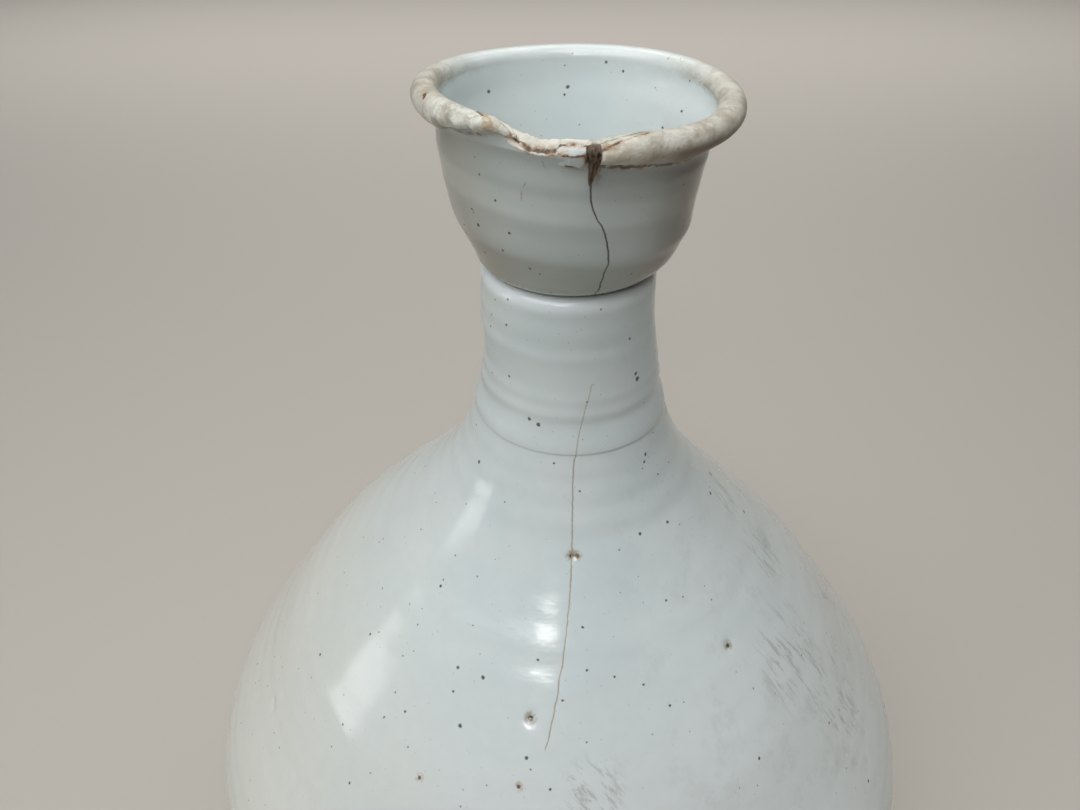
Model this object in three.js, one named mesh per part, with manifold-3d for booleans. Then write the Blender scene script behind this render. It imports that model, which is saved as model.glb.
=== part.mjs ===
// A large white-porcelain sake bottle with a cup-shaped mouth, standing on z = 0 with its axis on Z.
// It is a thrown and luted vessel: each wheel-thrown section is its own solid, with a ring of slip in
// each seam, and the broken lip is built from its sherds, the glue and the filler that hold them.
// Units are millimetres. The side with the mended lip faces -Y.
import * as THREE from "three";
import { mergeVertices } from "three/addons/utils/BufferGeometryUtils.js";
import Module from "manifold-3d";

const wasm = await Module();
wasm.setup();

// Driving dimensions.
const HEIGHT = 402; // foot to the top of the lip
const BELLY = { radius: 138.3, height: 141 };
const LOWER_DROP = 153; // vertical half-axis of the elliptical lower body
const WALL = 6; // thrown wall of the belly and shoulder
const SLIP = { seam: 1, bead: 2.2 }; // the slip in each luted seam, and the bead it leaves inside
const FOOT = { height: 10, outer: 73, inner: 60, base: 8 };
const NECK = { root: 303.5, top: 351.5, round: 3.5, bore: 17.5, rootBore: 22 };
const CUP = { foot: 22.2, slipEdge: 21.8 };
const LIP = { radius: 38.5, tube: 3.45, split: 37 }; // the folded bead, and the face it breaks away on
const GLUE_GAP = 0.35; // open joint line left between two neighbouring sherds
const AROUND = 48; // facets round the axis

// Where each length of the broken lip starts and ends, in degrees round the axis from -Y towards +X.
const LIP_PIECES = {
  rim_sherd_left: [-57, -35],
  putty_fill: [-35, -29],
  rim_tip_left: [-29, -24.5],
  lacquer_fill: [1, 5.5],
  rim_sherd_right: [5.5, 57],
};
const BROKEN_LIP = [-57, 57];
const FLAKE = { from: -9, to: 1, radius: 38.2, low: 393, high: 398 }; // a thin plate off the wall

const glaze = new THREE.MeshStandardMaterial({ color: 0xc9d0cf, roughness: 0.18, metalness: 0 });
const bareClay = new THREE.MeshStandardMaterial({ color: 0xcfc3ae, roughness: 0.85, metalness: 0 });
const wornGlaze = new THREE.MeshStandardMaterial({ color: 0xc8beac, roughness: 0.45, metalness: 0 });
const slipClay = new THREE.MeshStandardMaterial({ color: 0xd8d2c4, roughness: 0.8, metalness: 0 });
const lacquer = new THREE.MeshStandardMaterial({ color: 0x4a2d18, roughness: 0.4, metalness: 0 });
const putty = new THREE.MeshStandardMaterial({ color: 0xb59b7a, roughness: 0.75, metalness: 0 });

const bottle = new THREE.Group();
const point = (radius, height) => new THREE.Vector2(radius, height);
const toRadians = THREE.MathUtils.degToRad;

function add(name, geometry, material) {
  const mesh = new THREE.Mesh(geometry, material);
  mesh.name = name;
  bottle.add(mesh);
}

// A closed ring or bowl, turned about Z from an outline that runs anticlockwise in (radius, height).
function turned(outline) {
  const closed = [...outline];
  if (outline[0].x > 0) closed.push(outline[0].clone());
  return new THREE.LatheGeometry(closed, AROUND).rotateX(Math.PI / 2);
}

// The outline of the shoulder and neck, from the belly up to the round below the mouth.
const bodyLine = new THREE.SplineCurve([
  point(BELLY.radius, BELLY.height),
  point(137.5, 149.5),
  point(134.9, 158.5),
  point(126.5, 175),
  point(113.2, 194.5),
  point(98.6, 215.5),
  point(80, 236.5),
  point(59, 258),
  point(42, 278),
  point(32.4, 295),
  point(28.6, 308),
  point(26.3, 323),
  point(25.2, 338),
  point(24.8, NECK.top - NECK.round),
]);

// The part of that line between two heights, with both ends exactly at those heights.
function stretch(low, high, steps) {
  const fine = bodyLine.getPoints(600);
  const radiusAt = (z) => {
    const after = Math.max(1, fine.findIndex((p) => p.y >= z));
    const [a, b] = [fine[after - 1], fine[after]];
    return THREE.MathUtils.lerp(a.x, b.x, (z - a.y) / (b.y - a.y));
  };
  return Array.from({ length: steps + 1 }, (_, i) => {
    const z = THREE.MathUtils.lerp(low, high, i / steps);
    return point(radiusAt(z), z);
  });
}

// The inner face of a wall: each outline point moved inwards along the line's normal, ends kept level.
function innerFace(line, wall) {
  return line.map((p, i) => {
    const before = line[Math.max(0, i - 1)];
    const after = line[Math.min(line.length - 1, i + 1)];
    const along = after.clone().sub(before).normalize();
    const inwards = point(-along.y, along.x).multiplyScalar(wall);
    const isEnd = i === 0 || i === line.length - 1;
    return isEnd ? point(p.x - wall / along.y, p.y) : p.clone().add(inwards);
  });
}

// A seam of slip: a thin washer between two sections with a bead squeezed out inside the vessel.
function slipRing(inner, outer, low) {
  return turned([
    point(outer, low),
    point(outer, low + SLIP.seam),
    point(inner, low + SLIP.seam),
    point(inner - SLIP.bead, low + SLIP.seam / 2),
    point(inner, low),
  ]);
}

// Foot: a ring luted under the base and turned to a narrow flat bearing edge.
const footOutline = [
  point(FOOT.inner + 2.5, 0),
  point(FOOT.outer - 4.5, 0),
  point(FOOT.outer - 2.5, 1.5),
  point(FOOT.outer, FOOT.height),
  point(FOOT.inner - 2, FOOT.height),
  point(FOOT.inner + 1, 1.5),
];
add("foot_ring", turned(footOutline), bareClay);
add("foot_slip", slipRing(FOOT.inner - 2, FOOT.outer, FOOT.height), slipClay);

// Lower body: a thrown bowl, an ellipse outside and a dished floor inside.
const baseHeight = FOOT.height + SLIP.seam;
const lowerAngle = Math.asin((BELLY.height - SLIP.seam / 2 - baseHeight) / LOWER_DROP);
const lowerSteps = 10;
const lowerOuter = Array.from({ length: lowerSteps + 1 }, (_, i) => {
  const angle = lowerAngle * (1 - i / lowerSteps);
  return point(BELLY.radius * Math.cos(angle), BELLY.height - SLIP.seam / 2 - LOWER_DROP * Math.sin(angle));
});
const lowerInner = innerFace(lowerOuter, WALL).slice(2).reverse();
const floorEdge = lowerInner[lowerInner.length - 1];
const floor = new THREE.QuadraticBezierCurve(
  floorEdge,
  point(floorEdge.x * 0.78, baseHeight + FOOT.base),
  point(0, baseHeight + FOOT.base),
);
add(
  "lower_body",
  turned([point(0, baseHeight), ...lowerOuter, ...lowerInner, ...floor.getPoints(4).slice(1)]),
  glaze,
);

// Upper body: the shoulder dome, luted to the lower body at the widest part of the belly.
const shoulderOuter = stretch(BELLY.height + SLIP.seam / 2, NECK.root, 13);
const shoulderInner = innerFace(shoulderOuter, WALL);
shoulderInner[shoulderInner.length - 1] = point(NECK.rootBore, NECK.root);
add("upper_body", turned([...shoulderOuter, ...shoulderInner.reverse()]), glaze);
add("belly_slip", slipRing(BELLY.radius - WALL, BELLY.radius, BELLY.height - SLIP.seam / 2), slipClay);

// Neck: a short thrown tube with a rounded top edge under the mouth.
const neckOuter = stretch(NECK.root + SLIP.seam, NECK.top - NECK.round, 7);
const neckRound = new THREE.QuadraticBezierCurve(
  neckOuter[neckOuter.length - 1],
  point(neckOuter[neckOuter.length - 1].x, NECK.top),
  point(CUP.foot, NECK.top),
);
const neckInner = [point(NECK.bore, NECK.top), point(NECK.bore, 335), point(19, 318)];
add(
  "neck",
  turned([
    ...neckOuter,
    ...neckRound.getPoints(4).slice(1),
    ...neckInner,
    point(NECK.rootBore, NECK.root + SLIP.seam),
  ]),
  glaze,
);
const neckRootRadius = neckOuter[0].x;
add("neck_slip", slipRing(NECK.rootBore, neckRootRadius, NECK.root), slipClay);

// Mouth: a small bowl on the neck. Its wall runs up inside the lip to the full height.
const cupBottom = NECK.top + SLIP.seam;
add("mouth_slip", slipRing(NECK.bore, CUP.slipEdge, NECK.top), slipClay);
const cupOuter = new THREE.SplineCurve([
  point(CUP.foot, cupBottom),
  point(25.5, 353.9),
  point(28.6, 358.4),
  point(31, 363.3),
  point(32.7, 368.3),
  point(34, 376.5),
  point(35.2, 385),
  point(36.3, 394.5),
]).getPoints(12);
const cupInner = new THREE.SplineCurve([
  point(34.2, 398),
  point(32.6, 392),
  point(30.2, 376.5),
  point(28, 367.5),
  point(23, 360),
  point(NECK.bore, cupBottom),
]).getPoints(9);

// The arc of the lip bead's section between two angles, measured from +radius towards +height.
function lipArc(from, to, steps) {
  return Array.from({ length: steps + 1 }, (_, i) => {
    const angle = toRadians(THREE.MathUtils.lerp(from, to, i / steps));
    const centre = HEIGHT - LIP.tube;
    return point(LIP.radius + LIP.tube * Math.cos(angle), centre + LIP.tube * Math.sin(angle));
  });
}
const splitAngle = THREE.MathUtils.radToDeg(Math.acos((LIP.split - LIP.radius) / LIP.tube));
const innerLip = lipArc(splitAngle, 188, 4).map((p) => point(p.x - GLUE_GAP, p.y));
add("mouth_cup", turned([...cupOuter, ...innerLip, ...cupInner]), glaze);

// manifold-3d solids, for cutting the lip into its sherds.
function solid(geometry) {
  const bare = geometry.index ? geometry.toNonIndexed() : geometry.clone();
  bare.deleteAttribute("normal");
  bare.deleteAttribute("uv");
  const merged = mergeVertices(bare, 1e-3);
  return new wasm.Manifold(
    new wasm.Mesh({
      numProp: 3,
      vertProperties: merged.attributes.position.array,
      triVerts: new Uint32Array(merged.index.array),
    }),
  );
}

function geometryOf(body) {
  const mesh = body.getMesh();
  const geometry = new THREE.BufferGeometry();
  geometry.setAttribute("position", new THREE.BufferAttribute(mesh.vertProperties, mesh.numProp));
  geometry.setIndex(new THREE.BufferAttribute(mesh.triVerts, 1));
  return geometry;
}

// A wedge of space round the front of the lip, from one angle to another. Broken faces lean a little.
function wedge(from, to) {
  const reach = 60;
  const steps = Math.max(2, Math.ceil((to - from) / 10));
  const outline = [point(0, 0)];
  for (let i = 0; i <= steps; i += 1) {
    const angle = toRadians(THREE.MathUtils.lerp(from, to, i / steps));
    outline.push(point(reach * Math.sin(angle), -reach * Math.cos(angle)));
  }
  const middle = HEIGHT - LIP.tube;
  const lean = 0.25;
  return new THREE.ExtrudeGeometry(new THREE.Shape(outline), { depth: 24, bevelEnabled: false })
    .translate(0, 0, -12)
    .applyMatrix4(new THREE.Matrix4().makeShear(0, 0, 0, 0, lean, 0))
    .translate(0, 0, middle);
}

const bead = solid(turned(lipArc(-splitAngle, splitAngle, 9)));
const gapAngle = THREE.MathUtils.radToDeg(GLUE_GAP / LIP.radius / 2);
add("rim_roll", geometryOf(bead.subtract(solid(wedge(...BROKEN_LIP)))), wornGlaze);
const lipMaterials = { putty_fill: putty, lacquer_fill: lacquer };
for (const [name, [from, to]] of Object.entries(LIP_PIECES)) {
  const piece = bead.intersect(solid(wedge(from + gapAngle, to - gapAngle)));
  add(name, geometryOf(piece), lipMaterials[name] ?? wornGlaze);
}

// The flake left standing under the missing length of the lip.
const flakeBand = solid(
  turned([
    point(LIP.split, FLAKE.low),
    point(FLAKE.radius, FLAKE.low + 0.5),
    point(FLAKE.radius, FLAKE.high - 1),
    point(LIP.split, FLAKE.high),
  ]),
);
const flake = flakeBand.intersect(solid(wedge(FLAKE.from + gapAngle, FLAKE.to - gapAngle)));
add("lip_flake", geometryOf(flake), glaze);

export default bottle;
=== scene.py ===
import math

import bmesh
import bpy
import numpy as np
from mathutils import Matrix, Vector, noise


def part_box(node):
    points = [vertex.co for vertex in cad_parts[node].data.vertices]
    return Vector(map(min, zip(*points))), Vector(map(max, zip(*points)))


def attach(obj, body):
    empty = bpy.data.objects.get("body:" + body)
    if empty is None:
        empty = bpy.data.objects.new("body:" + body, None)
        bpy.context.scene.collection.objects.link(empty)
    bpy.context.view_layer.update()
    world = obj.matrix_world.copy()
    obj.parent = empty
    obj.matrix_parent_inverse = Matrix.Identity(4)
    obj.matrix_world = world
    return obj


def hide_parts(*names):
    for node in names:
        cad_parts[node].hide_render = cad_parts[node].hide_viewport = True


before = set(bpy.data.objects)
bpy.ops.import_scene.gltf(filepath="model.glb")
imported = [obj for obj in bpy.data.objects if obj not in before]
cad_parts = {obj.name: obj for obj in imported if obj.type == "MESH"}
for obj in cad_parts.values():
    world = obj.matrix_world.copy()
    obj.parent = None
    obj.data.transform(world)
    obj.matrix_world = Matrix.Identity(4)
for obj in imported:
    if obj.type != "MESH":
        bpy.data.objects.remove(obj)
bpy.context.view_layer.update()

# -------------------------------------------------------------------------------------------------
# Foot ring: a ring of the body clay, luted under the base and turned to a narrow bearing edge.
# It was fired standing on kiln sand, so it is bare, buff and gritty, and the glaze stops above it.
# The wheel, the curves and the shader nodes that every later piece uses are set up here too.

MM = 0.001  # every outline, mark and pattern in this file is in millimetres
AROUND = 480  # steps round the wheel
SECTORS = 8  # a whole turn is made as one sector and its copies
BELLY = 138.2  # widest radius
SHARP_EDGE = 38  # degrees between two faces past which their edge is shaded sharp

# The pot does not stand quite true: from one height to another its axis moves this far sideways.
LEANS = ((235, 280, 1.8), (322, 338, -1.3), (352, 358, 1.2), (360, 376, -1.1), (386, 396, 1.2))
SEAM_MOUTH = 352  # level of the joint between the neck and the mouth cup
LIP_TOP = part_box("rim_roll")[1].z / MM


def ease(value, start, end):
    """A smooth step from 0 to 1 between two values."""
    share = min(max((value - start) / (end - start), 0), 1)
    return share * share * (3 - 2 * share)


def lean(height):
    """How far the axis has moved sideways at a height."""
    return sum(shift * ease(height, low, high) for low, high, shift in LEANS)


def lip_dip(angle):
    """How far the lip has sagged below its highest level, by angle from the front towards +X."""
    single = 0.19 * math.cos(angle) + 0.89 * math.sin(angle)
    double = 0.29 * math.cos(2 * angle) + 0.68 * math.sin(2 * angle)
    return 1.64 + single + double


def on_wheel(radius, angle, height):
    """A point of the true turned shape, its angle taken from the front towards +X."""
    return Vector((radius * math.sin(angle), -radius * math.cos(angle), height))


def as_thrown(radius, angle, height):
    """Where a point of the true turned shape lies on the fired pot, in metres."""
    turned_place = on_wheel(radius, angle, height)
    share = radius / BELLY
    rise = min(max((height - SEAM_MOUTH) / (LIP_TOP - SEAM_MOUTH), 0), 1)
    flattened = -0.3 * share * (1 + math.cos(2 * angle)) - 0.12
    finger_rings = 0.07 * math.sin(height * 0.78 + angle) * math.sin(height * 0.11 + 2)
    uneven = 0.11 * noise.noise(turned_place / 30) + 0.035 * noise.noise(turned_place / 9)
    oval = rise * (0.66 * math.sin(2 * angle) - 0.22 * math.cos(2 * angle))
    radius += flattened + finger_rings + uneven + oval
    height -= rise * lip_dip(angle)
    return Vector((radius * math.sin(angle) + lean(height), -radius * math.cos(angle), height)) * MM


def fair_line(*points):
    """The fair curve through a few (radius, height) points, as closely spaced points."""
    knots = np.array(points, float)
    spans = np.hypot(*np.diff(knots, axis=0).T)
    slopes = np.diff(knots, axis=0) / spans[:, None]
    system = np.eye(len(knots))
    pull = np.zeros_like(knots)
    for i in range(1, len(knots) - 1):
        system[i, i - 1 : i + 2] = spans[i - 1], 2 * (spans[i - 1] + spans[i]), spans[i]
        pull[i] = 6 * (slopes[i] - slopes[i - 1])
    bend = np.linalg.solve(system, pull)
    line = [knots[:1]]
    for i, span in enumerate(spans):
        there = np.linspace(0, 1, 33)[1:, None]
        back = 1 - there
        sag = (back**3 - back) * bend[i] + (there**3 - there) * bend[i + 1]
        line.append(back * knots[i] + there * knots[i + 1] + sag * span**2 / 6)
    return np.concatenate(line)


def spaced(line, gap):
    """The line as evenly spaced points, with one more close to each end to hold the shading there."""
    line = np.array(line, float)
    along = np.concatenate([[0], np.cumsum(np.hypot(*np.diff(line, axis=0).T))])
    length = along[-1]
    hold = min(0.2, length / 8)
    marks = np.linspace(0, length, max(1, round(length / gap)) + 1)[1:-1]
    marks = np.concatenate([[0, hold], marks, [length - hold, length]])
    return np.stack([np.interp(marks, along, line[:, axis]) for axis in (0, 1)], axis=1)


def turned(*lines, start=-180, end=180, steps=AROUND):
    """A solid turned from lines that join end to end round its section, whole or from angle to angle."""
    section = []
    for line in lines:
        for radius, height in line:
            if not section or math.dist(section[-1], (radius, height)) > 1e-4:
                section.append((radius, height))
    if math.dist(section[0], section[-1]) < 1e-4:
        section.pop()
    mesh = bmesh.new()
    first = math.radians(start)
    corners = [
        mesh.verts.new((radius * math.sin(first), -radius * math.cos(first), height))
        for radius, height in section
    ]
    pairs = list(zip(corners, corners[1:]))
    if section[0][0] > 0:
        pairs.append((corners[-1], corners[0]))
    edges = [mesh.edges.new(pair) for pair in pairs]
    sectors = SECTORS if end - start >= 360 else 1
    sector = math.radians(end - start) / sectors
    about = {"cent": (0, 0, 0), "axis": (0, 0, 1)}
    bmesh.ops.spin(mesh, geom=corners + edges, angle=sector, steps=steps // sectors, **about)
    if sectors > 1:
        copied = mesh.verts[:] + mesh.edges[:] + mesh.faces[:]
        turns = sectors - 1
        bmesh.ops.spin(mesh, geom=copied, angle=sector * turns, steps=turns, use_duplicate=True, **about)
        bmesh.ops.remove_doubles(mesh, verts=mesh.verts[:], dist=1e-4)
    else:
        bmesh.ops.holes_fill(mesh, edges=[edge for edge in mesh.edges if edge.is_boundary])
    bmesh.ops.recalc_face_normals(mesh, faces=mesh.faces[:])
    return mesh


def as_turned(radius, angle, height):
    """The reshaping of a piece that is neither broken nor chipped: none."""
    return radius, angle, height


def cracks_near(places, cracks):
    """How far each place is from the nearest crack, in shares of that crack's half width."""
    nearest = np.full(len(places), 99.0)
    for half_width, points in cracks:
        path = [
            np.array(as_thrown(radius, math.radians(angle), height)) / MM
            for angle, radius, height in points
        ]
        for start, end in zip(path, path[1:]):
            along = end - start
            share = np.clip((places - start) @ along / (along @ along), 0, 1)
            gap = np.linalg.norm(places - start - share[:, None] * along, axis=1)
            nearest = np.minimum(nearest, gap / half_width)
    return nearest


def finished(name, mesh, material, reshape=as_turned, cracks=()):
    """Gives a turned mesh its damage and the unevenness of the thrown pot, and makes it an object.

    Each point keeps four values for the material: its height before the pot sagged, whether it is
    on a break, whether it faces outwards, and how far it is from the nearest glue line.
    """
    turned_height = mesh.verts.layers.float.new("turned_height")
    broken = mesh.verts.layers.float.new("broken")
    faces_out = mesh.verts.layers.float.new("faces_out")
    crack_gap = mesh.verts.layers.float.new("crack_gap")
    for vertex in mesh.verts:
        radius = math.hypot(vertex.co.x, vertex.co.y)
        angle = math.atan2(vertex.co.x, -vertex.co.y)
        radius, angle, height = reshape(radius, angle, vertex.co.z)
        vertex[turned_height] = height
        vertex[broken] = min(max(vertex.co.z - height, 0), 1)
        vertex.co = as_thrown(radius, angle, height)
    mesh.normal_update()
    places = np.array([vertex.co[:] for vertex in mesh.verts]) / MM
    gaps = cracks_near(places, cracks)
    for vertex, gap in zip(mesh.verts, gaps):
        vertex[faces_out] = vertex.normal.x * vertex.co.x + vertex.normal.y * vertex.co.y > 0
        vertex[crack_gap] = gap
    for face in mesh.faces:
        face.smooth = True
    for edge in mesh.edges:
        edge.smooth = len(edge.link_faces) == 2 and edge.calc_face_angle(0) < math.radians(SHARP_EDGE)
    data = bpy.data.meshes.new(name)
    mesh.to_mesh(data)
    mesh.free()
    data.materials.append(material)
    piece = bpy.data.objects.new(name, data)
    bpy.context.scene.collection.objects.link(piece)
    return piece


def node(shader, kind, *inputs, out=0, **settings):
    """Adds a shader node, sets or links its inputs in order, and returns one of its outputs."""
    made = shader.nodes.new("ShaderNode" + kind)
    for setting, value in settings.items():
        setattr(made, setting, value)
    for socket, value in zip(made.inputs, inputs):
        if isinstance(value, bpy.types.NodeSocket):
            shader.links.new(value, socket)
        elif value is not None:
            socket.default_value = value
    return made.outputs[out]


def maths(shader, operation, *values):
    """One step of arithmetic in a shader."""
    return node(shader, "Math", *values, operation=operation)


def times(shader, value, factor):
    """The product of two values in a shader, which is also where two masks overlap."""
    return maths(shader, "MULTIPLY", value, factor)


def fade(shader, value, start, end):
    """0 before start and 1 after end, smoothly between; start may be the larger."""
    return node(shader, "MapRange", value, start, end, 0.0, 1.0, interpolation_type="SMOOTHSTEP")


def cloud(shader, place, size, detail=2.0, roughness=0.5, out=0):
    """Soft random mottling whose patches are about this many millimetres across."""
    return node(shader, "TexNoise", place, None, 1 / size, detail, roughness, out=out)


def tint(shader, mask, under, over, blend="MIX"):
    """Lays one colour over another where the mask says."""
    inputs = (mask, None, None, None, None, None, under, over)
    return node(shader, "Mix", *inputs, out=2, data_type="RGBA", blend_type=blend)


def rgb(red, green, blue):
    return (red, green, blue, 1.0)


def new_material(name):
    """A material with its shader tree, its surface shader, and the place on the pot in millimetres."""
    material = bpy.data.materials.new(name)
    material.use_nodes = True
    shader = material.node_tree
    surface = shader.nodes["Principled BSDF"]
    where = node(shader, "TexCoord", out=3)
    place = node(shader, "VectorMath", where, (1 / MM, 1 / MM, 1 / MM), operation="MULTIPLY")
    return material, shader, surface, place


def relief(shader, surface, height):
    """Bump from a height in millimetres."""
    bumped = node(shader, "Bump", 1.0, MM, None, height)
    shader.links.new(bumped, surface.inputs["Normal"])


def bare_clay(name, colour, grit):
    """Unglazed fired porcelain: dry, faintly mottled, with grains of kiln sand stuck in it."""
    material, shader, surface, place = new_material(name)
    mottle = cloud(shader, place, 9.0, 4.0)
    shade = tint(shader, mottle, rgb(*colour), rgb(*(0.78 * part for part in colour)))
    grains = node(shader, "TexVoronoi", place, None, 1 / 1.1)
    grain = fade(shader, grains, 0.34, 0.14)
    chosen = fade(shader, cloud(shader, place, 5.0), 0.5, 0.6)
    grain = times(shader, grain, chosen)
    shade = tint(shader, times(shader, grain, grit), shade, rgb(0.16, 0.12, 0.08))
    shader.links.new(shade, surface.inputs["Base Color"])
    surface.inputs["Roughness"].default_value = 0.82
    tooth = times(shader, cloud(shader, place, 0.7, 4.0), 0.12)
    lumps = times(shader, grain, 0.25 * grit)
    relief(shader, surface, maths(shader, "ADD", tooth, lumps))
    return material


FOOT_TOP = 10
FOOT_OUTER = 73  # its radii at the joint with the base
FOOT_INNER = 58
FOOT_CHAMFER = 0.5
BUFF_CLAY = (0.62, 0.55, 0.44)
foot_outer = fair_line((69.9, FOOT_CHAMFER), (71.1, 3), (72.2, 6.5), (FOOT_OUTER, FOOT_TOP))
foot_inner = fair_line((FOOT_INNER, FOOT_TOP), (59.2, 6.5), (60.3, 3), (61.4, FOOT_CHAMFER))
foot_mesh = turned(
    spaced([(62.5, 0), (68.5, 0)], 1),
    spaced([(68.5, 0), foot_outer[0]], 0.8),
    spaced(foot_outer, 1),
    spaced([(FOOT_OUTER, FOOT_TOP), (FOOT_INNER, FOOT_TOP)], 3),
    spaced(foot_inner, 1),
    spaced([foot_inner[-1], (62.5, 0)], 0.8),
)
foot = finished("foot", foot_mesh, bare_clay("bare_foot_clay", BUFF_CLAY, 0.9))
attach(foot, "root")
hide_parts("foot_ring")

# -------------------------------------------------------------------------------------------------
# Foot slip: porcelain slip brushed into the scored joint between the foot and the base. What was
# squeezed out stands as a soft roll inside the foot; outside, the glaze runs over the joint.

SEAM = 1  # thickness of the slip in a joint
SET_BACK = 1.2  # the slip stops this far inside the outer face, where the two sections touch
BODY_ROLL = 2.2  # how far the squeezed-out slip stands inside the body
WHITE_SLIP = (0.74, 0.71, 0.64)
slip_clay = bare_clay("fired_slip", WHITE_SLIP, 0.15)


def slip_ring(inner, outer, low, roll):
    """A washer of slip with the roll that was squeezed out of the joint on its inner side."""
    middle = low + SEAM / 2
    swell = [
        (inner - roll * math.sin(turn), middle + 0.5 * SEAM * math.cos(turn))
        for turn in np.linspace(0, math.pi, 9)
    ]
    return turned([(inner, low), (outer, low), (outer, low + SEAM)], swell, steps=AROUND // 2)


foot_joint = finished(
    "foot_joint",
    slip_ring(FOOT_INNER, FOOT_OUTER - SET_BACK, FOOT_TOP, BODY_ROLL),
    slip_clay,
)
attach(foot_joint, "root")
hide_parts("foot_slip")

# -------------------------------------------------------------------------------------------------
# Lower body: the lower of the two bowls that the belly is made from, thrown in white porcelain.
# It carries the first stretch of the clear, faintly blue glaze that covers the whole bottle.

WALL = 6
BASE = 11  # the underside of the floor
FLOOR_TOP = 19  # the inside of the floor
SEAM_BELLY = 141  # level of the joint between the two bowls
# The outer face of the whole body, from the foot to the neck.
pot_line = fair_line(
    (73.7, BASE),
    (95.7, 30),
    (111.5, 50),
    (125, 75),
    (133.2, 100),
    (137.3, 123),
    (BELLY, SEAM_BELLY),
    (137.4, 149.5),
    (134.9, 158.5),
    (126.5, 175),
    (113.2, 194.5),
    (98.6, 215.5),
    (80, 236.5),
    (59, 258),
    (42, 278),
    (33, 294.5),
    (31.2, 299.5),
    (29.9, 304),
)


def between(line, low, high):
    """The part of a rising line between two heights, with its ends exactly there."""
    ends = [(np.interp(height, line[:, 1], line[:, 0]), height) for height in (low, high)]
    inside = line[(line[:, 1] > low + 0.01) & (line[:, 1] < high - 0.01)]
    return np.concatenate([ends[:1], inside, ends[1:]])


def inner_face(line, wall):
    """The inner face of a wall of this thickness, running back from the line's end to its start."""
    along = np.gradient(line, axis=0)
    along /= np.hypot(*along.T)[:, None]
    inside = line + wall * np.stack([-along[:, 1], along[:, 0]], axis=1)
    return inside[::-1]


def iron_spots(shader, place, spots):
    """A mask of ragged spots, each a (place on the surface, radius)."""
    ragged = cloud(shader, place, 0.9, 3.0, out=1)
    jitter = node(shader, "VectorMath", ragged, (0.5, 0.5, 0.5), operation="SUBTRACT")
    jitter = node(shader, "VectorMath", jitter, (0.7, 0.7, 0.7), operation="MULTIPLY")
    rough_place = node(shader, "VectorMath", place, jitter, operation="ADD")
    mask = None
    for centre, radius in spots:
        far = node(shader, "VectorMath", rough_place, tuple(centre / MM), out=1, operation="DISTANCE")
        spot = fade(shader, far, 1.25 * radius, 0.6 * radius)
        mask = spot if mask is None else maths(shader, "MAXIMUM", mask, spot)
    return mask


def turned_angle(shader, place):
    """Angle round the leaning axis from the front in degrees, distance from that axis, and height."""
    parts = node(shader, "SeparateXYZ", place)
    across, along, height = parts.node.outputs
    for low, high, shift in LEANS:
        step = times(shader, fade(shader, height, low, high), shift)
        across = maths(shader, "SUBTRACT", across, step)
    angle = maths(shader, "ARCTAN2", across, times(shader, along, -1.0))
    squares = [maths(shader, "POWER", reach, 2.0) for reach in (across, along)]
    radius = maths(shader, "SQRT", maths(shader, "ADD", *squares))
    return maths(shader, "DEGREES", angle), radius, height


def hairline(shader, place, points, width):
    """A mask of a crack that climbs through (height, angle) points, lowest first."""
    angle, radius, height = turned_angle(shader, place)
    low, high = points[0][0], points[-1][0]
    least = min(turn for _, turn in points)
    spread = max(max(turn for _, turn in points) - least, 1.0)
    part = node(shader, "MapRange", height, float(low), float(high), 0.0, 1.0)
    curve = node(shader, "FloatCurve", 1.0, part)
    track = curve.node.mapping.curves[0]
    knots = [((level - low) / (high - low), (turn - least) / spread) for level, turn in points]
    track.points[0].location = knots[0]
    track.points[-1].location = knots[-1]
    for knot in knots[1:-1]:
        track.points.new(*knot)
    curve.node.mapping.update()
    line_angle = node(shader, "MapRange", curve, 0.0, 1.0, float(least), float(least + spread))
    off = maths(shader, "SUBTRACT", angle, line_angle)
    off = times(shader, maths(shader, "RADIANS", off), radius)
    drift = maths(shader, "SUBTRACT", cloud(shader, place, 3.5, 3.0, 0.6), 0.5)
    off = maths(shader, "ADD", off, drift)
    near = fade(shader, maths(shader, "ABSOLUTE", off), width, 0.3 * width)
    above_end = fade(shader, height, low - 0.5, low + 0.5)
    below_end = fade(shader, height, high + 0.5, high - 0.5)
    return times(shader, near, times(shader, above_end, below_end))


GLAZE_THICK = rgb(0.585, 0.645, 0.645)
GLAZE_SHOULDER = rgb(0.65, 0.69, 0.68)
GLAZE_BELLY = rgb(0.665, 0.68, 0.665)
GLAZE_CREAM = rgb(0.67, 0.665, 0.595)
PAINTED_HIGHLIGHT_WHITE = rgb(0.86, 0.90, 0.91)
GLAZE_MOTTLE = rgb(0.50, 0.52, 0.50)
SCUFF_GREY = rgb(0.30, 0.29, 0.26)
GRIME = rgb(0.36, 0.35, 0.32)
IRON_DUST = rgb(0.16, 0.13, 0.11)
IRON_SPOT = rgb(0.06, 0.05, 0.045)
RUST_RING = rgb(0.42, 0.31, 0.19)
RUST_HOLE = rgb(0.11, 0.065, 0.035)
BLISTER_RING = rgb(0.36, 0.31, 0.23)
BLISTER_HOLE = rgb(0.06, 0.04, 0.022)


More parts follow.
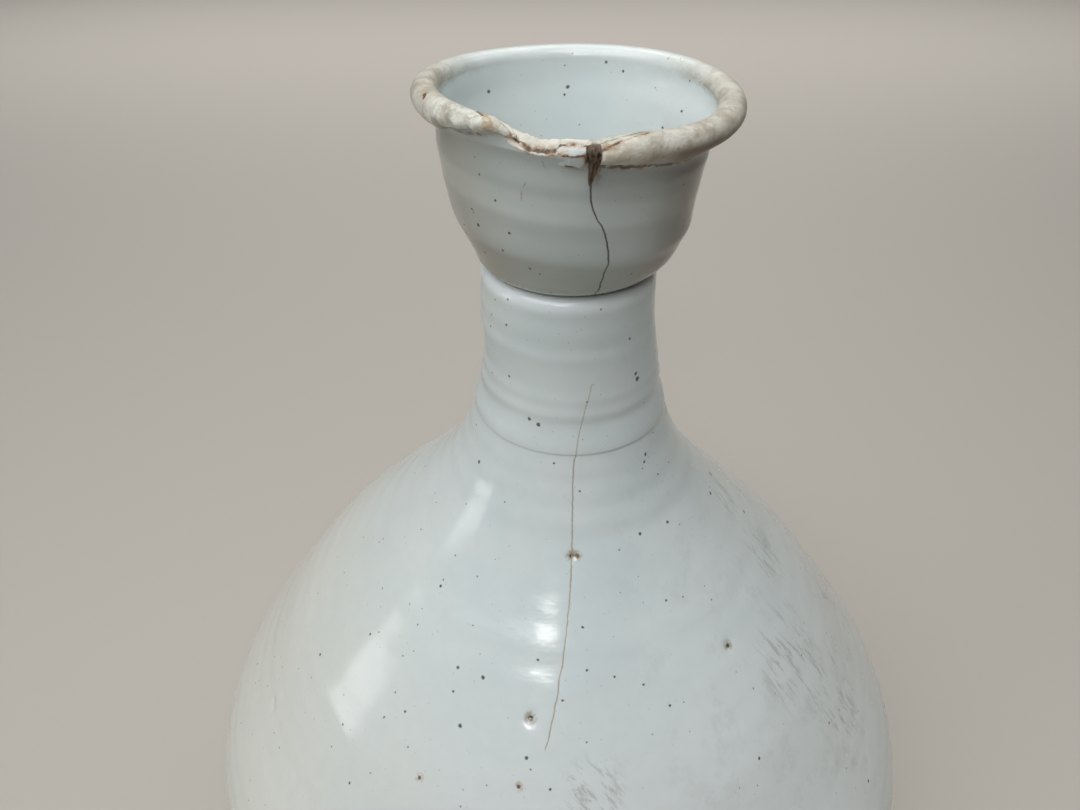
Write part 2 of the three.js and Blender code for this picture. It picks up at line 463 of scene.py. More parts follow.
def glaze_tone(shader, place, sideways, height, highlight_band):
    """The glaze's colour: bluer where it lies thick, cream where it is thin, on the left, white in a painted
    highlight.
    """
    pooled = fade(shader, cloud(shader, place, 46.0, 3.0), 0.35, 0.68)
    colour = tint(shader, pooled, GLAZE_THICK, GLAZE_SHOULDER)
    belly = fade(shader, maths(shader, "ADD", height, times(shader, pooled, 24.0)), 275.0, 215.0)
    colour = tint(shader, times(shader, belly, 0.8), colour, GLAZE_BELLY)
    flank = maths(shader, "ADD", sideways, times(shader, cloud(shader, place, 38.0, 3.0), 70.0))
    cream = times(shader, fade(shader, flank, 10.0, -75.0), 0.75)
    colour = tint(shader, cream, colour, GLAZE_CREAM)
    # A painted highlight band: the glaze is whitened between the two given heights.
    if highlight_band:
        colour = tint(shader, times(shader, fade(shader, height, *highlight_band), 0.85), colour, PAINTED_HIGHLIGHT_WHITE)
    fine = fade(shader, cloud(shader, place, 5.0, 4.0, 0.6), 0.3, 0.7)
    return tint(shader, times(shader, fine, 0.10), colour, GLAZE_MOTTLE)


def handling(shader, place, sideways, colour, scuffs):
    """Lays slanting grey scuffs and a film of grime over the glaze, and returns the grime's mask too."""
    slanted = node(shader, "VectorRotate", place, (0.0, 0.0, 0.0), (0.3, 1.0, 0.2), 0.8)
    slanted = node(shader, "VectorMath", slanted, (1.0, 1.0, 0.16), operation="MULTIPLY")
    streaks = fade(shader, cloud(shader, slanted, 2.2, 5.0, 0.7), 0.5, 0.62)
    for centre, reach in scuffs:
        far = node(shader, "VectorMath", place, tuple(centre / MM), out=1, operation="DISTANCE")
        scuffed = times(shader, fade(shader, far, reach, 0.3 * reach), streaks)
        colour = tint(shader, times(shader, scuffed, 0.5), colour, SCUFF_GREY)
    grime = fade(shader, cloud(shader, place, 14.0, 6.0, 0.7), 0.52, 0.72)
    right_side = fade(shader, sideways, -20.0, 90.0)
    grime = times(shader, grime, times(shader, right_side, 0.35))
    return tint(shader, grime, colour, GRIME), grime


def iron_dust(shader, place, colour):
    """Lays fine iron specks of two sizes over the glaze."""
    speck = fade(shader, node(shader, "TexVoronoi", place, None, 1 / 5.5), 0.075, 0.04)
    faint = fade(shader, node(shader, "TexVoronoi", place, None, 1 / 3.1), 0.075, 0.03)
    specks = maths(shader, "MAXIMUM", speck, times(shader, faint, 0.55))
    return tint(shader, times(shader, specks, 0.8), colour, IRON_DUST)


def open_pits(shader, place, colour, pits, ring, patch, hole):
    """Lays pits over the glaze, each a dark hole in a patchy stained ring.

    ring and hole are a size, as a share of the pit's, a strength and a colour. patch is the size of
    the stain's patches and the two levels between which they fade.
    """
    for (share, strength, stain), patchy in ((ring, patch), (hole, None)):
        mask = iron_spots(shader, place, [(centre, radius * share) for centre, radius in pits])
        if patchy:
            size, low, high = patchy
            strength = times(shader, fade(shader, cloud(shader, place, size, 3.0, 0.6), low, high), strength)
        colour = tint(shader, times(shader, mask, strength), colour, stain)
    return colour


def glaze_relief(shader, place):
    """The glaze's surface in millimetres: soft ripples, a fine grain and the rings of the wheel."""
    squat = node(shader, "VectorMath", place, (1.0, 1.0, 2.0), operation="MULTIPLY")
    ripples = times(shader, cloud(shader, squat, 11.0, 3.0), 0.13)
    grain = times(shader, cloud(shader, place, 1.5, 2.0), 0.008)
    level = node(shader, "VectorMath", place, (0.03, 0.03, 1.0), operation="MULTIPLY")
    rings = times(shader, cloud(shader, level, 1.6, 3.0, 0.6), 0.02)
    return maths(shader, "ADD", ripples, maths(shader, "ADD", grain, rings))


def glaze(name, spots=(), rust=(), blisters=(), cracks=(), scuffs=(), highlight_band=None, wear_and_shade=None):
    """Clear glaze with a blue-grey cast over white porcelain: glossy, rippled, with iron specks.

    spots, rust, blisters and scuffs are (place, radius) marks. Each crack is its (height, angle)
    points, half width, colour and strength. Between the two given heights a painted highlight turns
    the glaze white. The last argument lays the mouth's worn glaze and the cup's painted shade and light
    over the colour.
    """
    material, shader, surface, place = new_material(name)
    _, _, height = turned_angle(shader, place)
    sideways = node(shader, "SeparateXYZ", place)
    colour = glaze_tone(shader, place, sideways, height, highlight_band)
    colour, grime = handling(shader, place, sideways, colour, scuffs)
    colour = iron_dust(shader, place, colour)
    if spots:
        colour = tint(shader, times(shader, iron_spots(shader, place, spots), 0.9), colour, IRON_SPOT)
    if rust:
        ring, patch, hole = (1.9, 0.6, RUST_RING), (1.6, 0.4, 0.62), (0.85, 0.9, RUST_HOLE)
        colour = open_pits(shader, place, colour, rust, ring, patch, hole)
    if blisters:
        ring, patch, hole = (0.95, 0.85, BLISTER_RING), (1.4, 0.3, 0.55), (0.44, 0.92, BLISTER_HOLE)
        colour = open_pits(shader, place, colour, blisters, ring, patch, hole)
    raised = glaze_relief(shader, place)
    for points, width, shade, strength in cracks:
        crack = hairline(shader, place, points, width)
        colour = tint(shader, times(shader, crack, strength), colour, shade)
        raised = maths(shader, "SUBTRACT", raised, times(shader, crack, 0.03))
    dry = times(shader, grime, 0.8)
    if wear_and_shade:
        colour, worn = wear_and_shade(shader, place, colour)
        dry = maths(shader, "ADD", dry, times(shader, worn, 0.35))
        chips = times(shader, cloud(shader, place, 2.0, 5.0, 0.65), 0.3)
        raised = maths(shader, "ADD", raised, times(shader, chips, worn))
    shader.links.new(colour, surface.inputs["Base Color"])
    rough = maths(shader, "ADD", 0.10, times(shader, cloud(shader, place, 24.0, 4.0), 0.10))
    shader.links.new(maths(shader, "ADD", rough, dry), surface.inputs["Roughness"])
    relief(shader, surface, raised)
    return material


def joint_face(outer, inner, level, upwards):
    """A joint: the outer faces meet, and behind them each section is rebated for the slip."""
    rebate = level + (-SEAM if upwards else SEAM) / 2
    face = [(outer, level), (outer - SET_BACK, level), (outer - SET_BACK, rebate), (inner, rebate)]
    return face if upwards else face[::-1]


lower_line = between(pot_line, BASE, SEAM_BELLY)
lower_inner = inner_face(lower_line, WALL)
lower_inner = lower_inner[lower_inner[:, 1] > FLOOR_TOP + 8]
lower_inner[0] = (BELLY - WALL, SEAM_BELLY - SEAM / 2)
floor_edge = lower_inner[-1]
floor_line = fair_line(
    floor_edge, (floor_edge[0] - 12, FLOOR_TOP + 3.5), (45, FLOOR_TOP + 0.6), (0, FLOOR_TOP)
)
lower_mesh = turned(
    spaced([(0, BASE), (FOOT_OUTER - SET_BACK, BASE)], 6),
    [(FOOT_OUTER - SET_BACK, FOOT_TOP), (FOOT_OUTER, FOOT_TOP)],
    spaced(fair_line((FOOT_OUTER, FOOT_TOP), (73.6, 10.3), (73.9, BASE)), 0.3),
    spaced(lower_line, 2),
    joint_face(BELLY, BELLY - WALL, SEAM_BELLY, True),
    spaced(lower_inner, 5),
    spaced(floor_line, 5),
)
lower_bowl = finished("lower_bowl", lower_mesh, glaze("glaze_lower_body"))
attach(lower_bowl, "root")
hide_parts("lower_body")

# -------------------------------------------------------------------------------------------------
# Belly slip: the ring of slip that joins the two bowls at the widest part of the belly. Outside,
# the joint was scraped flush before glazing, so only the inner roll would ever be seen.

belly_joint = finished(
    "belly_joint",
    slip_ring(BELLY - WALL, BELLY - SET_BACK, SEAM_BELLY - SEAM / 2, BODY_ROLL),
    slip_clay,
)
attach(belly_joint, "root")
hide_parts("belly_slip")

# -------------------------------------------------------------------------------------------------
# Upper body: the shoulder dome, thrown in porcelain as a second bowl and luted on upside down. Its
# glaze has iron spots, rust specks, three burst blisters, two nicks, scuffs and a long fine crack.

SEAM_NECK = 304  # level of the joint with the neck


def ringed(line, *rings):
    """The line with soft rings raised or sunk in it, each a (height, half width, rise)."""
    line = line.copy()
    for height, width, rise in rings:
        line[:, 0] += rise * np.exp(-(((line[:, 1] - height) / width) ** 2))
    return line


upper_line = ringed(
    between(pot_line, SEAM_BELLY, SEAM_NECK),
    (299, 2.2, 0.25),
    (292, 3, 0.2),
    (284, 3.6, 0.2),
    (272, 5, 0.16),
    (258, 6, 0.14),
)


def radius_at(line, height):
    """The radius of an outline at a height."""
    order = np.argsort(line[:, 1])
    return np.interp(height, line[order, 1], line[order, 0])


def marks_on(line, marks):
    """(angle, height, radius) marks as places on a piece's outer face, each with its radius."""
    return [
        (as_thrown(radius_at(line, height), math.radians(angle), height), size)
        for angle, height, size in marks
    ]


# Every mark below is its angle round the pot in degrees, its height and its radius.
SHOULDER_SPOTS = (
    (94, 267, 0.9), (80, 269, 0.7), (104, 247, 0.5), (90, 252, 0.8), (45, 277, 0.5), (30, 278, 0.5),
    (32, 261, 0.4), (4, 260, 0.4), (-44, 260, 0.5), (-28, 247, 0.5), (-21, 247, 0.6), (-27, 242, 0.45),
    (-23, 236, 0.65), (-36, 233, 0.45), (-48, 220, 0.45), (-40, 229, 0.4), (-8, 253, 0.45),
    (-8, 233, 0.6), (-41, 210, 0.5), (-64, 224, 0.5), (-55, 240, 0.45), (-82, 186, 0.5),
    (-1, 245, 0.4), (5, 251, 0.4), (12, 249, 0.4), (19, 246, 0.4), (24, 240, 0.45), (59, 206, 0.5),
    (61, 179, 0.6), (39, 219, 0.5), (-3, 227, 0.45), (-56, 292, 0.6), (-10, 301, 0.4), (43, 296, 0.5),
    (45, 298, 0.6), (50, 290, 0.4), (4, 293, 0.35),
)
SHOULDER_CHIPS = ((-68.5, 198, 1.5), (-67.3, 197, 1.4))
SHOULDER_SCUFFS = ((60, 228, 24), (5, 226, 13), (80, 245, 16), (88, 262, 12), (66, 205, 22))
SHOULDER_RUST = ((2, 276, 1.0), (-9, 227, 0.8), (-28, 222, 0.8))
SHOULDER_BLISTERS = ((0, 276, 1.9), (45, 244, 1.9), (-8, 241, 2.1))
PIT_DEPTH = 0.28  # as a share of the pit's radius
LONG_CRACK = ((235, -4.3), (249, -1.9), (262, -0.5), (276, 0.2), (296, 0.5), (SEAM_NECK, 1.8))
CRACK_BROWN = rgb(0.36, 0.28, 0.19)
NECK_HOLE = 22  # radius of the hole in the top of the shoulder
upper_inner = inner_face(upper_line, WALL)
upper_inner[0] = (NECK_HOLE, SEAM_NECK - SEAM / 2)
upper_inner[-1] = (BELLY - WALL, SEAM_BELLY + SEAM / 2)
upper_inner = upper_inner[np.r_[0, np.flatnonzero(upper_inner[1:, 1] < SEAM_NECK - 5) + 1]]
upper_mesh = turned(
    spaced(upper_line, 1.7),
    joint_face(upper_line[-1][0], NECK_HOLE, SEAM_NECK, True),
    spaced(upper_inner, 5),
    joint_face(BELLY, BELLY - WALL, SEAM_BELLY, False),
)
# The burst blisters and nicks are real hollows, so the mesh is made finer round each of them.
pits = [
    (on_wheel(radius_at(upper_line, height), math.radians(angle), height), size)
    for angle, height, size in SHOULDER_BLISTERS + SHOULDER_CHIPS
]
for reach in (4.6, 3.2):
    near = [
        edge for edge in upper_mesh.edges
        if any(((edge.verts[0].co + edge.verts[1].co) / 2 - spot).length < reach for spot, _ in pits)
    ]
    bmesh.ops.subdivide_edges(upper_mesh, edges=near, cuts=1, use_grid_fill=True)


def pitted(radius, angle, height):
    """Sinks the burst blisters and nicks of the glaze into the shoulder."""
    spot = on_wheel(radius, angle, height)
    depth = sum(PIT_DEPTH * size * math.exp(-(((spot - pit).length / size) ** 2)) for pit, size in pits)
    return radius - depth, angle, height


shoulder = finished(
    "shoulder",
    upper_mesh,
    glaze(
        "glaze_upper_body",
        spots=marks_on(upper_line, SHOULDER_SPOTS),
        rust=marks_on(upper_line, SHOULDER_RUST),
        blisters=marks_on(upper_line, SHOULDER_BLISTERS),
        cracks=[(LONG_CRACK, 0.35, CRACK_BROWN, 0.75)],
        scuffs=marks_on(upper_line, SHOULDER_SCUFFS),
    ),
    pitted,
)
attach(shoulder, "root")
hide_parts("upper_body")

# -------------------------------------------------------------------------------------------------
# Neck slip: the ring of slip between the shoulder and the neck. It is hidden from outside, where the
# two sections meet, and a small roll of it stands inside the bore.

NECK_SLIP = 28.8  # outer radius of the slip
NECK_ROLL = 1.2
neck_slip = slip_ring(NECK_HOLE, NECK_SLIP, SEAM_NECK - SEAM / 2, NECK_ROLL)
neck_joint = finished("neck_joint", neck_slip, slip_clay)
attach(neck_joint, "root")
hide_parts("neck_slip")

# -------------------------------------------------------------------------------------------------
# Neck: a short tube thrown on its own and luted on to the shoulder. Soft rings at its root are the
# edges of the joint, and its top is rounded in under the mouth.

BORE = 17.5
NECK_ROOT = 30.1  # radius of the neck where it stands on the shoulder
MOUTH_ROOT = 22.2  # radius where the neck and the cup meet
NECK_TOP = (25.3, 348)  # where the rounding of the top begins
neck_line = ringed(
    fair_line(
        (NECK_ROOT, SEAM_NECK), (29, 308), (27.9, 312.6), (27.2, 317), (26.4, 323), (25.9, 331), (25.6, 338),
        NECK_TOP,
    ),
    (306.5, 2.8, 0.42),
    (312.3, 1.9, -0.24),
    (315.8, 1.7, 0.28),
    (321, 1.8, 0.16),
    (334, 1.8, 0.14),
    (342, 2.2, 0.1),
)
neck_line[0] = (NECK_ROOT, SEAM_NECK)
neck_round = [
    (MOUTH_ROOT + 3.1 * math.cos(turn), NECK_TOP[1] + 3.7 * math.sin(turn))
    for turn in np.linspace(0, math.pi / 2, 15)
]
neck_outline = np.concatenate([neck_line, neck_round[1:]])
NECK_SPOTS = (
    (45, 323, 0.8), (44, 325, 0.6), (41, 337, 0.4), (-21, 312, 0.7), (-27, 313, 0.6), (-44, 324, 0.4),
    (-42, 349, 0.4), (-60, 337, 0.35), (-43, 341, 0.4),
)
NECK_CRACK_BROWN = rgb(0.40, 0.33, 0.24)
UPPER_CRACK = ((SEAM_NECK, 1.8), (308, 2.9), (316, 6.4), (326, 11.6))
bore_ends = (BORE, SEAM_MOUTH - SEAM / 2), (NECK_HOLE, SEAM_NECK + SEAM / 2)
neck_bore = fair_line(bore_ends[0], (BORE, 335), (19, 318), bore_ends[1])
neck_mesh = turned(
    spaced(neck_outline, 0.8),
    joint_face(MOUTH_ROOT, BORE, SEAM_MOUTH, True),
    spaced(neck_bore, 3),
    joint_face(NECK_ROOT, NECK_HOLE, SEAM_NECK, False),
)
neck_tube = finished(
    "neck_tube",
    neck_mesh,
    glaze(
        "glaze_neck",
        spots=marks_on(neck_line, NECK_SPOTS),
        cracks=[(UPPER_CRACK, 0.3, NECK_CRACK_BROWN, 0.6)],
        # A painted highlight round the neck's rounded top, under the cup.
        highlight_band=(346.5, 350.5),
    ),
)
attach(neck_tube, "root")
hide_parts("neck")

# -------------------------------------------------------------------------------------------------
# Mouth slip: the ring of slip between the neck and the mouth cup, narrower than the one below. It is
# hidden behind the groove that runs round under the cup.

MOUTH_ROLL = 1
mouth_slip = slip_ring(BORE, MOUTH_ROOT - SET_BACK, SEAM_MOUTH - SEAM / 2, MOUTH_ROLL)
mouth_joint = finished("mouth_joint", mouth_slip, slip_clay)
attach(mouth_joint, "root")
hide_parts("mouth_slip")

# -------------------------------------------------------------------------------------------------
# Mouth cup: a small bowl thrown on its own and luted on to the neck a little off centre. Its wall
# runs up inside the lip, and along the broken stretch its bare edge is laid open.

LIP_RADIUS = 38.07  # centre of the folded bead's section
LIP_TUBE = 3.45
LIP_SPLIT = 37  # the bead breaks away from the wall on this radius
lip_centre = LIP_TOP - LIP_TUBE
split_angle = math.degrees(math.acos((LIP_SPLIT - LIP_RADIUS) / LIP_TUBE))
split_rise = LIP_TUBE * math.sin(math.radians(split_angle))
split_top = lip_centre + split_rise
split_low = lip_centre - split_rise


def lip_arc(start, end):
    """Part of the bead's round section, from angle to angle, 0 being outwards."""
    angles = np.radians(np.linspace(start, end, 49))
    out, up = np.cos(angles), np.sin(angles)
    return np.stack([LIP_RADIUS + LIP_TUBE * out, lip_centre + LIP_TUBE * up], axis=1)


cup_line = ringed(
    fair_line(
        (MOUTH_ROOT, SEAM_MOUTH), (25.5, 353.9), (28.5, 358.6), (30.6, 363.7), (32.3, 368.9), (33.5, 377.4),
        (34.8, 386.2), (36.1, 393.8), (LIP_SPLIT, split_low),
    ),
    (366.5, 2.2, 0.22),
    (378, 2.5, 0.2),
    (387.5, 2.2, 0.2),
)
cup_line[0] = (MOUTH_ROOT, SEAM_MOUTH)
cup_line[-1] = (LIP_SPLIT, split_low)
cup_inside = fair_line(
    (LIP_RADIUS - LIP_TUBE, lip_centre), (34.4, 396.5), (33.8, 393.3), (32.5, 387.5), (30.4, 377.5),
    (28, 368), (23, 360.3), (BORE, SEAM_MOUTH + SEAM / 2),
)

# The break: how far the top of the wall has gone along the missing length of the lip, by angle.
BREAK_DEPTH = (
    (-36, 0), (-30, 2), (-25, 3), (-20, 3.5), (-15, 4), (-10, 3.5), (-5, 3), (5, 2.9), (9, 2), (12, 1.2),
    (17, 0.5), (21, 0),
)
BREAK_LEVEL = 35.2  # inside this radius the broken face is level
BREAK_SLOPE = 1.6  # how steeply it falls outside it
# The glue lines and cracks of the mended lip: half width, then the (angle, radius, height) they pass.
LIP_CRACKS = (
    (0.3, ((-39, 37.7, 402), (-33, 39, 401.7), (-28.4, 39.2, 401), (-26, 38, 399.5), (-25, 36.2, 397.7))),
    (0.35, ((-25, 36.2, 397.7), (-23, 36.2, 397.1), (-21, 36.3, 396.7))),
    (0.6, ((-21, 36.3, 396.6), (-19, 36.6, 396.2), (-13.4, 36.5, 396.2), (-10, 36.5, 396.4))),
    (0.28, ((-10, 36.4, 396.6), (-8, 35.9, 397.9), (-3, 35.8, 398.3), (1, 36, 398.2))),
    (0.22, ((-9, 36.6, 396.2), (-6.8, 37, 395.9), (-2.7, 37.2, 396), (0.8, 37.1, 396.4))),
    (0.3, ((-5.5, 36.6, 393.4), (-2.3, 36.6, 393.2), (0.8, 36.3, 393.1), (1.3, 36.6, 394.5),
           (1.2, 37.2, 398))),
    (0.6, ((4, 36.2, 394), (11, 35.9, 393.4), (14, 36, 393.6), (17.5, 35.8, 392.9), (18.3, 36.1, 394.1))),
    (0.55, ((18.3, 35.9, 393.2), (22, 35.8, 393.1), (28.5, 35.7, 392.9), (37, 35.6, 392.3),
            (50, 35.5, 391.8))),
    (0.5, ((4.6, 40.2, 398.6), (6.3, 40, 399), (9, 39.5, 400), (11.6, 39.2, 400.8))),
    (0.28, ((11.6, 39.2, 400.8), (14.3, 38.9, 401.4), (18, 38.6, 401.8), (20.7, 38.5, 402))),
    (0.14, ((-14.5, 37, 395.4), (-13.6, 35.7, 392.7), (-11.3, 35.2, 390.9))),
    (0.14, ((-21.8, 34.5, 382.5), (-21.2, 34.8, 386), (-19.3, 35.1, 387.7))),
    (0.5, ((1.2, 37.4, 396), (2.5, 37, 394.5), (6, 36.4, 393.8))),
    (0.45, ((5.6, 38.5, 398.3), (5.7, 40.8, 397), (5.9, 40.3, 394.6))),
    (0.22, ((-57, 37.6, 395), (-50, 37.3, 395.5), (-42, 37.2, 396.5), (-36, 37.2, 397.1))),
    (0.55, ((-65.2, 40.4, 401.1), (-67, 39.8, 401.5))),
)


def missing(degrees):
    """How far the top of the wall has gone at an angle."""
    return np.interp(degrees, *zip(*BREAK_DEPTH))


def chipped_cup(radius, angle, height):
    """Breaks the top of the cup's wall away where the lip is missing."""
    degrees = math.degrees(angle)
    depth = missing(degrees)
    if depth > 0 and height > LIP_TOP - 10:
        sloping = ease(degrees, -32, -26) * (1 - ease(degrees, 1, 3))
        outwards = max(radius - BREAK_LEVEL, 0) * BREAK_SLOPE * sloping
        ragged = 0.16 * noise.noise(Vector((degrees / 2.2, radius, 3.0)))
        ragged += 0.1 * noise.noise(Vector((degrees / 0.8, radius * 2, 7.0)))
        ceiling = LIP_TOP - depth * (1 + ragged) - outwards
        height = min(height, ceiling + 0.02 * (height - ceiling))
    return radius, angle, height


def attribute(shader, name):
    """A value that the mesh carries at each of its points."""
    return node(shader, "Attribute", out=2, attribute_name=name)


WORN_CREAM = rgb(0.65, 0.62, 0.545)
WORN_DIRTY = rgb(0.42, 0.375, 0.295)
WORN_STAIN = rgb(0.25, 0.19, 0.12)
GLUE_STAIN = rgb(0.33, 0.18, 0.08)
GLUE_DARK = rgb(0.06, 0.03, 0.014)
GLUE_RUSTY = rgb(0.24, 0.11, 0.035)
BARED_CLAY = rgb(0.72, 0.67, 0.58)
BARED_RUSTY = rgb(0.33, 0.18, 0.09)
LACQUER_RUN = rgb(0.20, 0.13, 0.075)
CUP_CRACK_BROWN = rgb(0.07, 0.045, 0.028)
# Painted shade and painted light on the cup, as shares of its colour.
PAINTED_SHADE_OUTSIDE = rgb(0.75, 0.735, 0.715)
PAINTED_SHADE_FOOT = rgb(0.74, 0.70, 0.64)
PAINTED_SHADE_RIGHT = rgb(0.52, 0.46, 0.39)
PAINTED_SHADE_LEFT = rgb(0.84, 0.80, 0.74)
PAINTED_LIGHT_BAND = rgb(1.16, 1.16, 1.16)
PAINTED_LIGHT_INSIDE = rgb(1.17, 1.15, 1.14)


def worn_colour(shader, place):
    """Cream, dry glaze with brown dirt rubbed into it, as on the lip."""
    patch = fade(shader, cloud(shader, place, 6.0, 5.0, 0.65), 0.36, 0.64)
    colour = tint(shader, patch, WORN_DIRTY, WORN_CREAM)
    stain = fade(shader, cloud(shader, place, 2.0, 5.0, 0.7), 0.54, 0.74)
    return tint(shader, times(shader, stain, 0.6), colour, WORN_STAIN)


def between_angles(shader, angle, start, end, soft=1.5):
    """1 between two angles round the pot, in degrees, and 0 outside them."""
    after = fade(shader, angle, start - soft, start + soft)
    return times(shader, after, fade(shader, angle, end + soft, end - soft))


def glue_lines(shader, place, colour):
    """Dark brown lines where the sherds are glued, with a rusty stain spread out on both sides."""
    rough_edge = maths(shader, "SUBTRACT", cloud(shader, place, 1.3, 5.0, 0.7), 0.5)
    gap = maths(shader, "ADD", attribute(shader, "crack_gap"), times(shader, rough_edge, 2.2))
    patchy = fade(shader, cloud(shader, place, 2.2, 3.0), 0.4, 0.6)
    spread = times(shader, fade(shader, gap, 3.0, 0.8), patchy)
    colour = tint(shader, times(shader, spread, 0.7), colour, GLUE_STAIN)
    rusty = fade(shader, cloud(shader, place, 1.4, 4.0, 0.7), 0.44, 0.62)
    brown = tint(shader, rusty, GLUE_DARK, GLUE_RUSTY)
    return tint(shader, times(shader, fade(shader, gap, 1.1, 0.6), 0.92), colour, brown)


def painted_cup_shading(shader, angle, level, outside, colour):
    """Painted shade outside the cup, at its foot and both sides, darkest on the right; painted light in a
    band and inside.
    """
    banded = maths(shader, "ADD", level, times(shader, angle, 0.03))
    shaded_foot_band = times(shader, outside, fade(shader, banded, 367.0, 363.5))
    lit_band = times(shader, fade(shader, banded, 376.0, 379.0), fade(shader, banded, 386.0, 382.5))
    faces_in = fade(shader, attribute(shader, "faces_out"), 1.0, 0.0)
    # Each mask multiplies in painted shade, or painted light where its shares are above 1.
    for mask, shade in (
        (outside, PAINTED_SHADE_OUTSIDE),
        (times(shader, shaded_foot_band, 0.8), PAINTED_SHADE_FOOT),
        (times(shader, outside, lit_band), PAINTED_LIGHT_BAND),
        (times(shader, outside, between_angles(shader, angle, 40.0, 150.0, 19.0)), PAINTED_SHADE_RIGHT),
        (times(shader, outside, between_angles(shader, angle, -140.0, -40.0, 18.0)), PAINTED_SHADE_LEFT),
        (times(shader, faces_in, fade(shader, level, 372.0, 396.0)), PAINTED_LIGHT_INSIDE),
    ):
        colour = tint(shader, mask, colour, shade, "MULTIPLY")
    return colour


def lip_wear_and_cup_shade(shader, place, colour):
    """Lays the cup's painted shade and light, the lip's worn glaze, the bared clay of the break and the
    brown joint lines.
    """
    angle, radius, _ = turned_angle(shader, place)
    level = attribute(shader, "turned_height")
    below_lip = fade(shader, level, LIP_TOP - 3.0, LIP_TOP - 8.0)
    outside = times(shader, attribute(shader, "faces_out"), below_lip)
    # Painted shade and painted light on the cup's walls.
    colour = painted_cup_shading(shader, angle, level, outside, colour)
    edge = maths(shader, "ADD", level, times(shader, cloud(shader, place, 3.0, 4.0, 0.6), 4.0))
    back = fade(shader, maths(shader, "ABSOLUTE", angle), 95.0, 140.0)
    front = maths(shader, "SUBTRACT", 1.0, times(shader, back, 0.9))
    worn = times(shader, fade(shader, edge, LIP_TOP - 3.0, LIP_TOP - 1.0), front)
    colour = tint(shader, worn, colour, worn_colour(shader, place))
    # The clay bared by the break is cream, with rusty patches.
    broken = fade(shader, attribute(shader, "broken"), 0.05, 0.3)
    bared = times(shader, broken, between_angles(shader, angle, -34.0, 2.0))
    rusty = fade(shader, cloud(shader, place, 2.6, 4.0, 0.65), 0.5, 0.66)
    rusty = times(shader, rusty, fade(shader, radius, 35.4, 36.6))
    colour = tint(shader, bared, colour, tint(shader, rusty, BARED_CLAY, BARED_RUSTY))
    colour = glue_lines(shader, place, colour)
    # The lacquer has run down the wall under its joint and stained it.
    under_joint = fade(shader, level, LIP_TOP - 14, LIP_TOP - 9)
    run = times(shader, under_joint, between_angles(shader, angle, 4.5, 9.5, 1.6))
    patchy = fade(shader, cloud(shader, place, 2.0, 4.0), 0.35, 0.6)
    run = times(shader, times(shader, run, outside), patchy)
    colour = tint(shader, times(shader, run, 0.8), colour, LACQUER_RUN)
    return colour, maths(shader, "MAXIMUM", worn, bared)


CUP_SPOTS = (
    (-34, 381, 0.4), (-49, 376, 0.4), (-47, 372, 0.5), (-29, 373, 0.4), (-51, 363, 0.4), (-35, 367, 0.4),
    (-23, 363, 0.4),
)
CUP_INSIDE_SPOTS = (
    (-137, 392, 0.6), (-179, 391, 0.55), (-178, 389, 0.4), (164, 398, 0.45), (155, 396, 0.4),
    (114, 390, 0.45), (124, 384, 0.4),
)
CUP_CRACK = (
    (SEAM_MOUTH, 14), (354, 13), (361, 12.3), (366, 14), (371, 13.5), (376, 11), (379, 8), (383, 5.9),
    (389, 4.6), (394, 3.9),
)
cup_mesh = turned(
    spaced(cup_line, 0.8),
    spaced([(LIP_SPLIT, split_low), (LIP_SPLIT, split_top)], 0.5),
    spaced(lip_arc(split_angle, 180), 0.45),
    spaced(cup_inside, 1.1),
    joint_face(MOUTH_ROOT, BORE, SEAM_MOUTH, False),
)
cup = finished(
    "cup",
    cup_mesh,
    glaze(
        "glaze_cup",
        spots=marks_on(cup_line, CUP_SPOTS) + marks_on(cup_inside, CUP_INSIDE_SPOTS),
        cracks=[(CUP_CRACK, 0.33, CUP_CRACK_BROWN, 0.9)],
        # This also lays the cup's painted shade and light.
        wear_and_shade=lip_wear_and_cup_shade,
    ),
    chipped_cup,
    cracks=LIP_CRACKS,
)
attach(cup, "root")
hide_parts("mouth_cup")

# -------------------------------------------------------------------------------------------------
# Rim roll: the wall's edge folded outwards into a bead, whole round the back and both sides. The
# glaze on it is worn matt and stained cream where the bottle has been handled and set down.

WORN_WHITE = rgb(0.68, 0.70, 0.695)
FLAKED_WHITE = rgb(0.72, 0.73, 0.66)
PAINTED_SHADE_BROWN = rgb(0.15, 0.10, 0.06)


def worn_glaze(name, flaky):
    """Glaze rubbed through along the lip: cream and dry, whiter at the back, with painted brown shade under
    the right.
    """
    material, shader, surface, place = new_material(name)
    angle, _, _ = turned_angle(shader, place)
    colour = worn_colour(shader, place)
    back = fade(shader, maths(shader, "ABSOLUTE", angle), 95.0, 140.0)
    colour = tint(shader, times(shader, back, 0.85), colour, WORN_WHITE)
    # Where the bead has flaked on the left, there are whitish bare patches with a green cast.
    patches = fade(shader, cloud(shader, place, 5.0, 5.0, 0.7), 0.45, 0.55)
    left = between_angles(shader, angle, -58.0, -20.0, 5.0)
    colour = tint(shader, times(shader, patches, times(shader, left, 0.8)), colour, FLAKED_WHITE)
    # Painted shade: the underside of the bead is darkened brown on the right.
    ragged = maths(shader, "ADD", attribute(shader, "turned_height"), cloud(shader, place, 4.0, 3.0))
    under = fade(shader, ragged, LIP_TOP - 1.4, LIP_TOP - 4.2)
    under = times(shader, under, between_angles(shader, angle, 24.0, 110.0, 14.0))
    colour = tint(shader, times(shader, under, 0.92), colour, PAINTED_SHADE_BROWN)
    colour = glue_lines(shader, place, colour)
    shader.links.new(colour, surface.inputs["Base Color"])
    surface.inputs["Roughness"].default_value = 0.42
    relief(shader, surface, times(shader, cloud(shader, place, 2.4, 5.0, 0.65), flaky))
    return material


# The bead is broken between these angles, in degrees from the front.
BROKEN_FROM = -57
BROKEN_TO = 57


